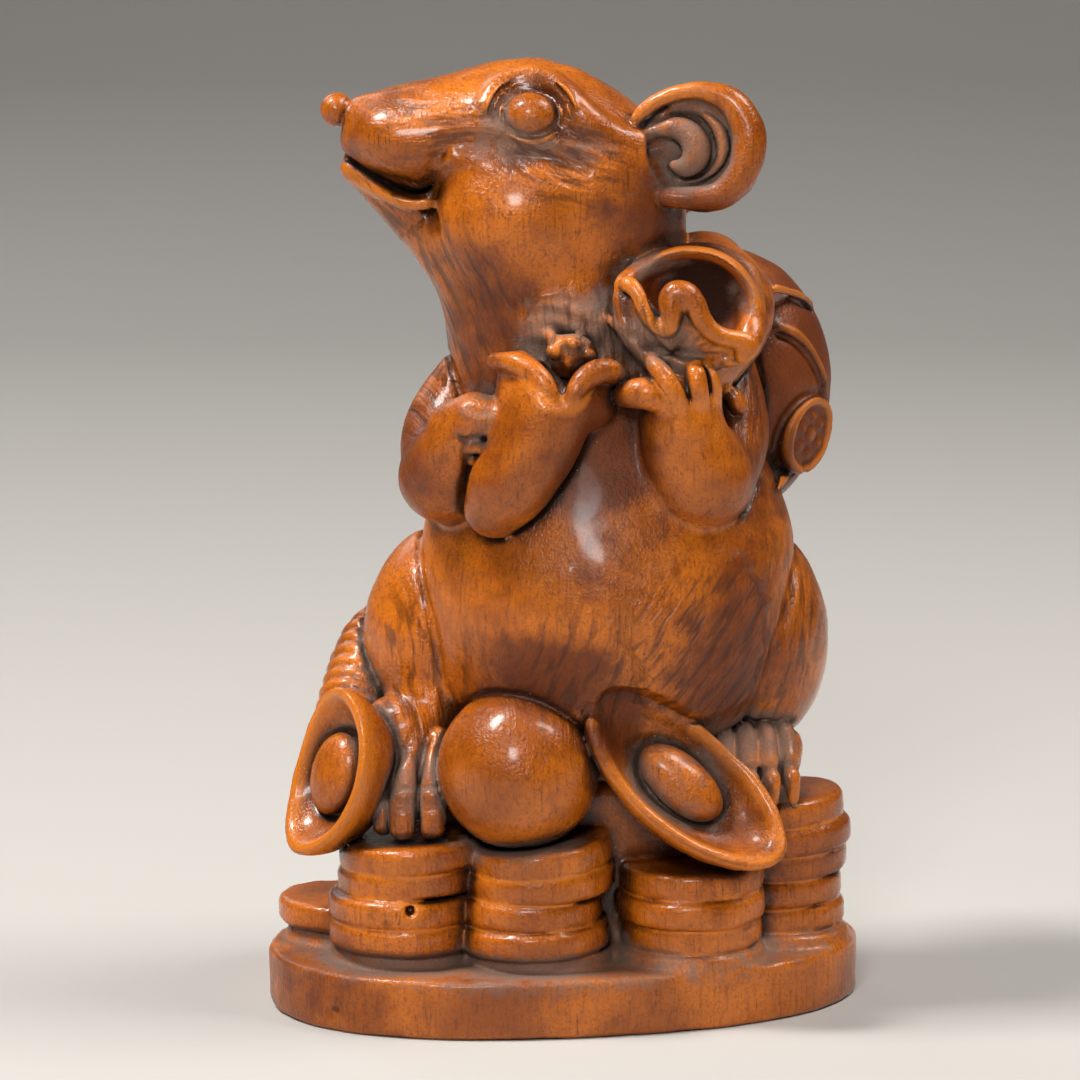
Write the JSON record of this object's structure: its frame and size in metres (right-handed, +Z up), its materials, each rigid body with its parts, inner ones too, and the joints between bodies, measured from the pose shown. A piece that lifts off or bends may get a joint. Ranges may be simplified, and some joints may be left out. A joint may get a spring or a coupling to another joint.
{
  "type": "carved wooden rat figurine",
  "caption": "Rat carved from one block of boxwood, standing on stacks of coins and holding a treasure sack, with a pearl and boat ingots, on an oval plinth",
  "frame": {"origin": "middle of the flat underside of the plinth", "axes": "+Z up from the plinth to the head, the belly towards -Y, the snout towards -X"},
  "size_m": [0.0566, 0.0386, 0.0897],
  "materials": {
    "boxwood": "waxed satin"
  },
  "bodies": {
    "root": {"rat_figurine": "boxwood"}
  },
  "joints": []
}
